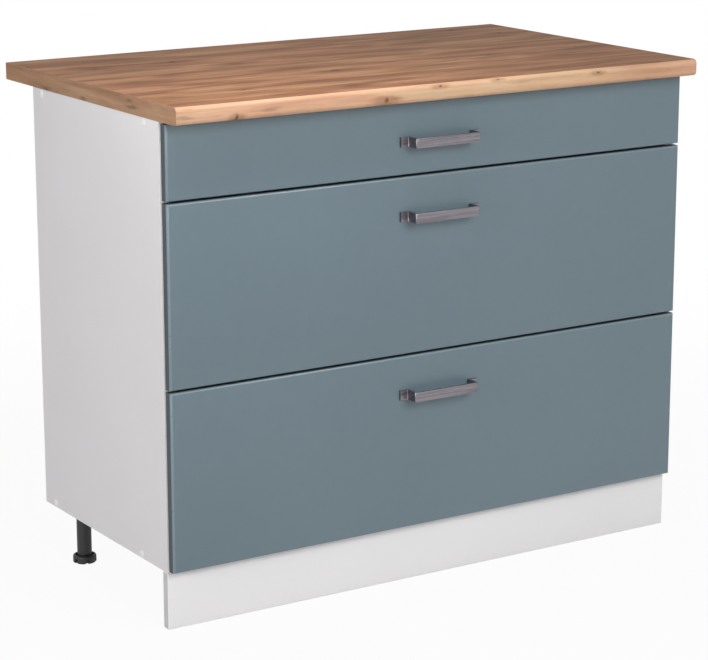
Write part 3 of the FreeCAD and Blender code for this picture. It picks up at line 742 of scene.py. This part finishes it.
# %% Drawer screws
BRACKET_SHEET = 1.5 * MM
BRACKET_EDGE = 10 * MM           # from a bracket's upper and lower edge to its screws
BRACKET_HOLE = 13 * MM           # from a bracket's outer face, or from its rear end, to its screws
TAB_HOLE = 9 * MM
SHELF_HOLE = 7 * MM
HANDLE_HEAD = 4 * MM             # radius
SHELF_SCREWS = (50 * MM, 200 * MM, 350 * MM)
for level in LEVELS:
    spots, axes = [], []
    bracket_low, bracket_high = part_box("front_brackets_" + level)
    side_low, side_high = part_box("drawer_side_left_" + level)
    back_low, back_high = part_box("drawer_back_" + level)
    for sign in (-1, 1):
        edge = sign * bracket_high.x
        for z in (bracket_low.z + BRACKET_EDGE, bracket_high.z - BRACKET_EDGE):
            spots.append((edge - sign * BRACKET_HOLE, bracket_low.y + BRACKET_SHEET, z))
            axes.append((0, 1, 0))
            spots.append((edge - sign * BRACKET_SHEET, bracket_high.y - BRACKET_HOLE, z))
            axes.append((-sign, 0, 0))
        for part in (0.25, 0.75):
            z = back_low.z + part * (back_high.z - back_low.z)
            spots.append((edge - sign * TAB_HOLE, side_high.y, z))
            axes.append((0, 1, 0))
        for back in SHELF_SCREWS:
            spots.append((edge - sign * SHELF_HOLE, side_low.y + back, side_low.z))
            axes.append((0, 0, -1))
    make_screws("drawer_pan_screws_" + level, "drawer_" + level, spots, axes, 2.8 * MM, 1.6 * MM)
    head_low, head_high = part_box("handle_screws_" + level)
    z = (head_low.z + head_high.z) / 2
    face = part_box("front_" + level)[1].y
    reach = head_high.x - HANDLE_HEAD
    make_screws("handle_pan_screws_" + level, "drawer_" + level,
                [(-reach, face, z), (reach, face, z)],
                [(0, 1, 0)] * 2, HANDLE_HEAD, 2.4 * MM, ["handle_screws_" + level])
    print(level, len(spots) + 2)

# %% [markdown]
# ## Cover caps
# The long screws that hold the carcass together end in the side panels' outer faces, and each is
# hidden under a white plastic cap, 12.5 mm across and 1.2 mm high, with a low rim and a dome. The
# caps show in the picture as small bright crescents near the panel's corners. They are spun like
# the screws.

# %% Cover caps
CAP = 12.5 * MM / 2
CAP_RISE = 1.2 * MM
CAP_RIM = 0.2                    # the rim's share of the rise
CAP_STEPS = 40
DOME_TURNS = (0.15, 0.35, 0.6, 0.85, 1.1, 1.35, pi / 2)           # from the rim to the middle
CAP_SPOTS = ((-196, 804), (163, 804), (-158, 103), (156, 103))    # Y and Z, in millimetres
bm = bmesh.new()
for sign in (-1, 1):
    for y, z in CAP_SPOTS:
        outline = [(CAP, 0), (CAP, CAP_RIM * CAP_RISE)]
        outline += [(CAP * cos(turn), (CAP_RIM + (1 - CAP_RIM) * sin(turn)) * CAP_RISE)
                    for turn in DOME_TURNS]
        lathe(bm, outline, (sign * cad_high[0], y * MM, z * MM), (sign, 0, 0), CAP_STEPS)
caps = finish_piece(bm, "screw_cover_caps", "carcass", [white_cap], 40)
print(caps.name, 2 * len(CAP_SPOTS))

# %% [markdown]
# ## Legs and feet
# A leg is a plain black tube, open at its lower end, where the foot screws in.

# %% Leg tubes
bm = bmesh.new()
tube_low, tube_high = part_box("leg_tubes")
TUBE = 12.5 * MM
TUBE_BORE = 10.5 * MM
TUBE_EASE = 0.6 * MM
TUBE_STEPS = 48
leg_axes = {}
for end in ("front", "rear"):
    for side in ("left", "right"):
        low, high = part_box("foot_%s_%s" % (end, side))
        leg_axes[end, side] = ((low.x + high.x) / 2, (low.y + high.y) / 2)
        outline = [(TUBE_BORE, tube_high.z), (TUBE_BORE, tube_low.z + TUBE_EASE),
                   (TUBE_BORE + TUBE_EASE, tube_low.z), (TUBE - TUBE_EASE, tube_low.z),
                   (TUBE, tube_low.z + TUBE_EASE), (TUBE, tube_high.z)]
        lathe(bm, outline, leg_axes[end, side] + (0,), (0, 0, 1), TUBE_STEPS)
tubes = finish_piece(bm, "leg_tubes_round", "carcass", [black_plastic], 40,
                     ["leg_tubes"])
print(tubes.name, len(leg_axes))

# %% [markdown]
# A foot is a disc with six notches to turn it by, on a coarse thread that screws into the tube.
# The disc is a grid of points round its axis whose radius drops in the notches, and it is hollowed
# on top. The thread is a grid whose radius rises and falls once per 3 mm of height and turn.

# %% Feet
FOOT = 20 * MM
FOOT_TOP = 13 * MM
CUP = 16 * MM                    # the disc is hollowed round the tube's end
CUP_FLOOR = 8 * MM
NOTCHES = 6
NOTCH_HALF = radians(7)
NOTCH_DEEP = 4 * MM
NOTCH_TOP = 8 * MM
NOTCH_TURN = radians(16)
THREAD = 10.4 * MM
THREAD_DEEP = 1.1 * MM
PITCH = 3 * MM
THREAD_ROWS = 6                  # for each turn of the thread
FOOT_STEPS = 144
THREAD_STEPS = 24


def foot_ring(bm, centre, radius, z, steps, shape):
    """A ring of points whose radius is cut down by a function of the angle."""
    return [bm.verts.new((centre[0] + (radius - shape(tau * i / steps)) * cos(tau * i / steps),
                          centre[1] + (radius - shape(tau * i / steps)) * sin(tau * i / steps), z))
            for i in range(steps)]


def join_rings(bm, rings):
    """Joins each ring of points to the next by a band of faces."""
    for one, two in zip(rings, rings[1:]):
        for i in range(len(one)):
            j = (i + 1) % len(one)
            bm.faces.new((one[i], one[j], two[j], two[i]))


def notch(angle):
    """Full depth within a notch and nothing outside it."""
    part = (angle - NOTCH_TURN + pi / NOTCHES) % (tau / NOTCHES) - pi / NOTCHES
    return NOTCH_DEEP if abs(part) < NOTCH_HALF else 0


def plain(angle):
    """No notch anywhere."""
    return 0


def make_foot(end, side):
    """A notched, hollowed disc and its thread, each a stack of rings."""
    centre = leg_axes[end, side]
    bm = bmesh.new()
    levels = ((FOOT - 6 * MM, 0, plain), (FOOT - 1 * MM, 0, notch), (FOOT, 1 * MM, notch),
              (FOOT, NOTCH_TOP, notch), (FOOT, NOTCH_TOP, plain), (FOOT, FOOT_TOP - 3 * MM, plain),
              (FOOT - 0.9 * MM, FOOT_TOP - 0.9 * MM, plain), (FOOT - 3 * MM, FOOT_TOP, plain),
              (CUP, FOOT_TOP, plain), (CUP - 0.5 * MM, CUP_FLOOR, plain),
              (THREAD, CUP_FLOOR, plain))
    rings = [foot_ring(bm, centre, radius, z, FOOT_STEPS, shape) for radius, z, shape in levels]
    bm.faces.new(rings[0])
    join_rings(bm, rings)
    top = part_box("foot_%s_%s" % (end, side))[1].z
    rows = int((top - CUP_FLOOR) / PITCH * THREAD_ROWS)
    thread = []
    for row in range(rows + 1):
        z = CUP_FLOOR + (top - CUP_FLOOR) * row / rows
        turned = z / PITCH
        thread.append(foot_ring(bm, centre, THREAD, z, THREAD_STEPS, lambda angle: (
            THREAD_DEEP * abs(2 * ((angle / tau + turned) % 1) - 1))))
    bm.faces.new(thread[-1])
    join_rings(bm, thread)
    name = "foot_%s_%s" % (end, side)
    return finish_piece(bm, "notched_" + name, name, [black_plastic], 40, [name])


for end, side in leg_axes:
    make_foot(end, side)
print("feet", len(leg_axes))

# %% [markdown]
# ## Rollers
# A runner roller is a nylon wheel with a rim, a thinner web and a hub, turning on a steel rivet.
# Six ribs join hub and rim on both faces, and they show that it turns. The wheel's outline is spun
# round X, and the ribs are small blocks set round the hub.

# %% Rollers
WHEEL = 6 * MM                    # width
WHEEL_STEPS = 48
# each point's radius and its place in the width, in millimetres
WHEEL_OUTLINE = ((2.55, 0), (4.6, 0), (5.0, 1.4), (8.0, 1.4), (8.3, 0), (10.1, 0), (10.5, 0.4),
                 (10.5, 5.6), (10.1, 6), (8.3, 6), (8.0, 4.6), (5.0, 4.6), (4.6, 6), (2.55, 6),
                 (2.55, 0))
RIBS = 6
RIB_HALF = 0.5 * MM               # half a rib's thickness
RIB_INSET = 0.4 * MM              # how far a rib stays below the wheel's faces
RIB_INNER, RIB_OUTER = 4.6 * MM, 8.2 * MM


def make_rollers(name):
    """A left and a right wheel with their ribs, in the place of one node."""
    low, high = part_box(name)
    y, z = (low.y + high.y) / 2, (low.z + high.z) / 2
    bm = bmesh.new()
    for start in (low.x, high.x - WHEEL):
        lathe(bm, [(radius * MM, along * MM) for radius, along in WHEEL_OUTLINE], (start, y, z),
              (1, 0, 0), WHEEL_STEPS)
        for rib in range(RIBS):
            made = block(bm, (start + RIB_INSET, -RIB_HALF, RIB_INNER),
                         (start + WHEEL - RIB_INSET, RIB_HALF, RIB_OUTER))
            turn = Matrix.Rotation(rib * tau / RIBS, 3, "X")
            for vertex in made:
                arm = turn @ Vector((0, vertex.co.y, vertex.co.z))
                vertex.co = (vertex.co.x, y + arm.y, z + arm.z)
    bmesh.ops.remove_doubles(bm, verts=bm.verts, dist=1e-6)
    return finish_piece(bm, "ribbed_" + name, name, [white_nylon], 40, [name])


for level in LEVELS:
    for end in ("front", "rear"):
        make_rollers("%s_rollers_%s" % (end, level))
print("rollers", 4 * len(LEVELS))

# %% [markdown]
# ## Floor and light
# The cabinet stands on a plain pale floor before a white background. The camera and reflections
# see the floor and the world as white, while the light that these two throw on the cabinet stays
# at a plain level, so that the white boards keep their shades. Near the cabinet a little of the
# real floor shows, and with it the shadow.

# %% Floor
FLOOR_REACH = 6.0
NEAR, FAR = 0.6, 2.4             # the real floor shows most within one, not at all past the other
NEAR_WHITE = 0.94                # how much of the floor is painted white near the cabinet


def seen_or_mirrored(tree):
    """1 for what the camera or a reflection sees, and 0 for light that falls on things."""
    path = add(tree, "ShaderNodeLightPath")
    return add(tree, "ShaderNodeMath",
               {0: path.outputs["Is Camera Ray"], 1: path.outputs["Is Glossy Ray"]},
               operation="MAXIMUM").outputs[0]


def studio_floor():
    """A pale matt floor, mostly painted over by white for the camera and reflections."""
    material, tree, shader = start_material("pale_studio_floor")
    shader.inputs["Base Color"].default_value = srgb("#D4D4D4")
    shader.inputs["Roughness"].default_value = 0.9
    glow = add(tree, "ShaderNodeEmission", {"Color": (1, 1, 1, 1), "Strength": 1.0})
    place = add(tree, "ShaderNodeTexCoord").outputs["Object"]
    far = add(tree, "ShaderNodeVectorMath", {0: place}, operation="LENGTH").outputs["Value"]
    white = add(tree, "ShaderNodeMapRange",
                {"Value": far, "From Min": NEAR, "From Max": FAR, "To Min": NEAR_WHITE,
                 "To Max": 1.0},
                interpolation_type="SMOOTHSTEP")
    part = add(tree, "ShaderNodeMath", {0: seen_or_mirrored(tree), 1: white.outputs["Result"]},
               operation="MULTIPLY")
    blend = add(tree, "ShaderNodeMixShader", {"Fac": part.outputs[0], 1: shader.outputs["BSDF"],
                                              2: glow.outputs["Emission"]})
    output = next(node for node in tree.nodes if node.type == "OUTPUT_MATERIAL")
    tree.links.new(blend.outputs["Shader"], output.inputs["Surface"])
    return material


bm = bmesh.new()
bmesh.ops.create_grid(bm, x_segments=1, y_segments=1, size=FLOOR_REACH)
floor_mesh = bpy.data.meshes.new("studio_floor")
bm.to_mesh(floor_mesh)
bm.free()
floor_mesh.materials.append(studio_floor())
floor = bpy.data.objects.new("studio_floor", floor_mesh)
bpy.context.scene.collection.objects.link(floor)
floor.location.z = cad_low[2]
print("floor at", round(floor.location.z, 4))

# %% [markdown]
# One large soft lamp in front lights the fronts most, a weaker one the left side, and the worktop,
# which they only graze, stays the darkest. A small weak lamp over the worktop lifts its left
# front, which is lighter in the picture. Two more keep the back and the right side at a plain
# level and hardly reach the faces in the picture. Each has a place, a target, a size, a power in
# watts, and whether glossy faces mirror it.

# %% World and lamps
WORLD_LIGHT = 0.26
world = bpy.data.worlds.new("studio_world")
bpy.context.scene.world = world
world.use_nodes = True
tree = world.node_tree
tree.nodes.clear()
soft = add(tree, "ShaderNodeBackground", {"Color": (1, 1, 1, 1), "Strength": WORLD_LIGHT})
shown = add(tree, "ShaderNodeBackground", {"Color": (1, 1, 1, 1), "Strength": 1.0})
both = add(tree, "ShaderNodeMixShader",
           {"Fac": seen_or_mirrored(tree), 1: soft.outputs[0], 2: shown.outputs[0]})
add(tree, "ShaderNodeOutputWorld", {"Surface": both.outputs[0]})


def soft_lamp(name, spot, target, size, power, shines):
    """A rectangular lamp, unseen by the camera, that glossy faces mirror only if it shines."""
    data = bpy.data.lights.new(name, "AREA")
    data.shape = "RECTANGLE"
    data.size, data.size_y = size
    data.energy = power
    lamp = bpy.data.objects.new(name, data)
    bpy.context.scene.collection.objects.link(lamp)
    lamp.visible_camera = False
    lamp.visible_glossy = shines
    lamp.location = spot
    lamp.rotation_euler = (Vector(target) - Vector(spot)).to_track_quat("-Z", "Y").to_euler()
    return lamp


LAMPS = (
    ("key_lamp", (0.2, -2.7, 1.80), (0.05, -0.2, 0.60), (1.8, 1.2), 36, True),
    ("top_lamp", (-0.40, -0.38, 1.40), (-0.40, -0.37, 0.84), (0.9, 0.3), 4.5, False),
    ("side_lamp", (-3.1, -1.0, 1.0), (-0.5, 0, 0.5), (1.4, 1.4), 27, True),
    ("right_lamp", (3.1, 0.5, 0.9), (0.5, 0.1, 0.4), (1.4, 1.4), 24, False),
    ("back_lamp", (0.3, 3.4, 0.7), (0, 0.2, 0.4), (2.0, 1.0), 50, False),
)
for lamp in LAMPS:
    print(soft_lamp(*lamp).name)

bpy.context.scene.view_settings.view_transform = "Standard"
